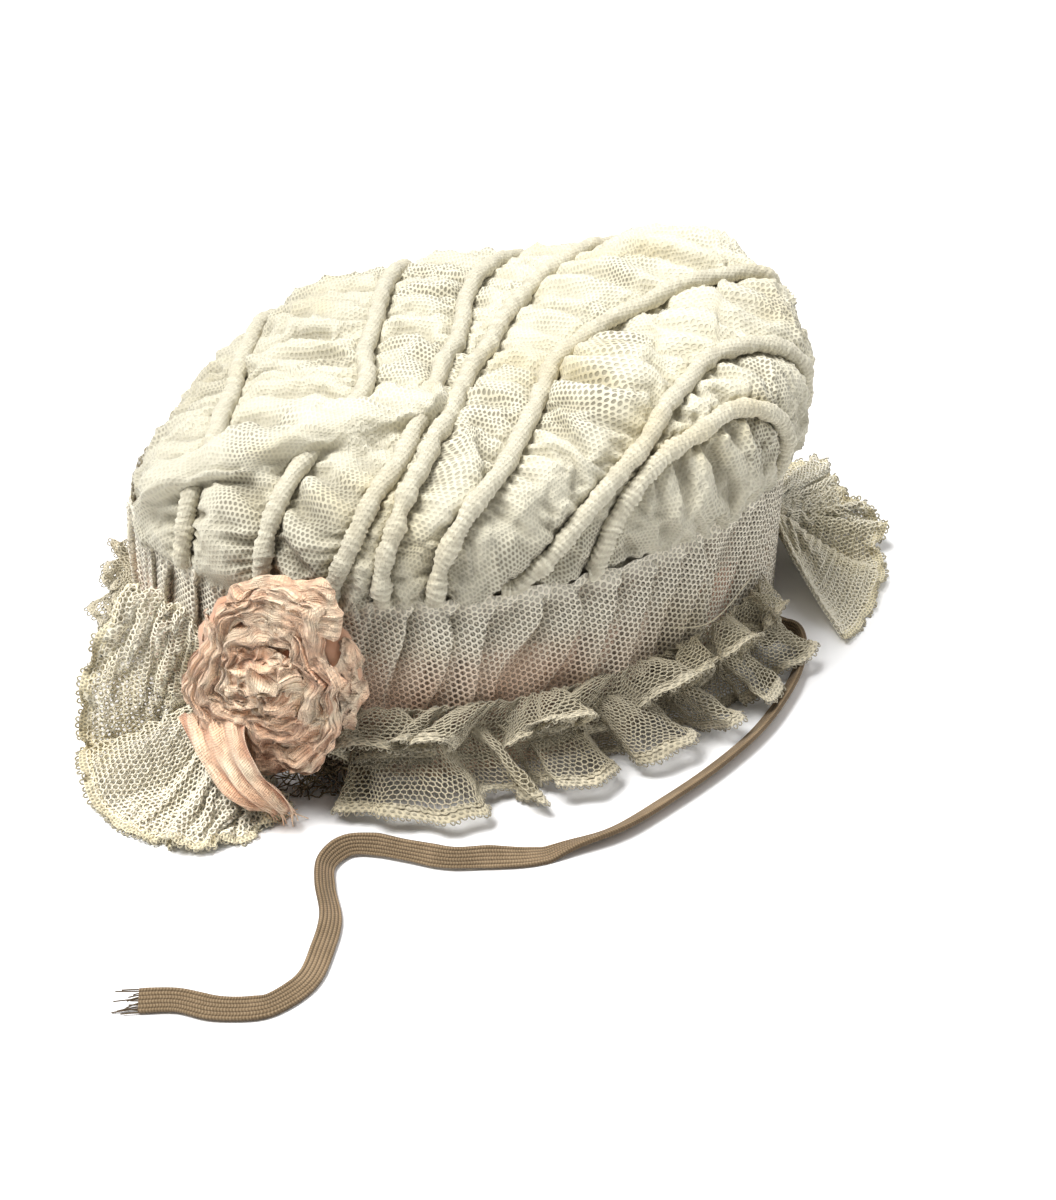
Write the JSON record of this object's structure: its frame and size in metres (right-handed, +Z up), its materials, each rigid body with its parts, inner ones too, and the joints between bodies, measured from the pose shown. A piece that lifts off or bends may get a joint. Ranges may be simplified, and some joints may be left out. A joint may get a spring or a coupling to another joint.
{
  "type": "childrens lace hat",
  "caption": "Soft child's hat of gathered net with a corded puffed crown, a pleated band over pink lining, lace frills, two lace fans, a silk rosette and one elastic tie.",
  "frame": {"origin": "on the table under the middle of the hat, its tie left out", "axes": "+Z up through the crown, +Y along the longer way across the band, -Y the side with the rosette, +X the side where the tie comes out"},
  "size_m": [0.1866, 0.2557, 0.0868],
  "materials": {
    "crown_net": "fine cotton net over net, cream with a warm tint, matt",
    "piping_net": "net gathered tightly over cord, cream, matt",
    "band_net": "coarse hexagonal cotton net, cream grey, matt",
    "pink_cotton": "thin faded pink cotton, matt",
    "grey_lace": "aged cotton lace net with a picot edge, grey cream, matt",
    "pink_silk": "crumpled silk ribbon, faded pink, soft shine",
    "tan_elastic": "woven flat elastic with lengthwise ribs, tan, matt"
  },
  "bodies": {
    "root": {"band_lining": "pink_cotton", "band_net": "band_net", "crown": "crown_net", "piping_cord_1": "piping_net", "piping_cord_2": "piping_net", "piping_cord_3": "piping_net", "piping_cord_4": "piping_net", "piping_cord_5": "piping_net", "piping_cord_6": "piping_net", "piping_cord_7": "piping_net", "ruffle_front_upper": "grey_lace", "ruffle_front_lower": "grey_lace", "ruffle_back_upper": "grey_lace", "ruffle_back_lower": "grey_lace", "lace_fan_front": "grey_lace", "lace_fan_back": "grey_lace", "rosette": "pink_silk", "rosette_tail": "pink_silk", "tie": "tan_elastic"}
  },
  "joints": []
}
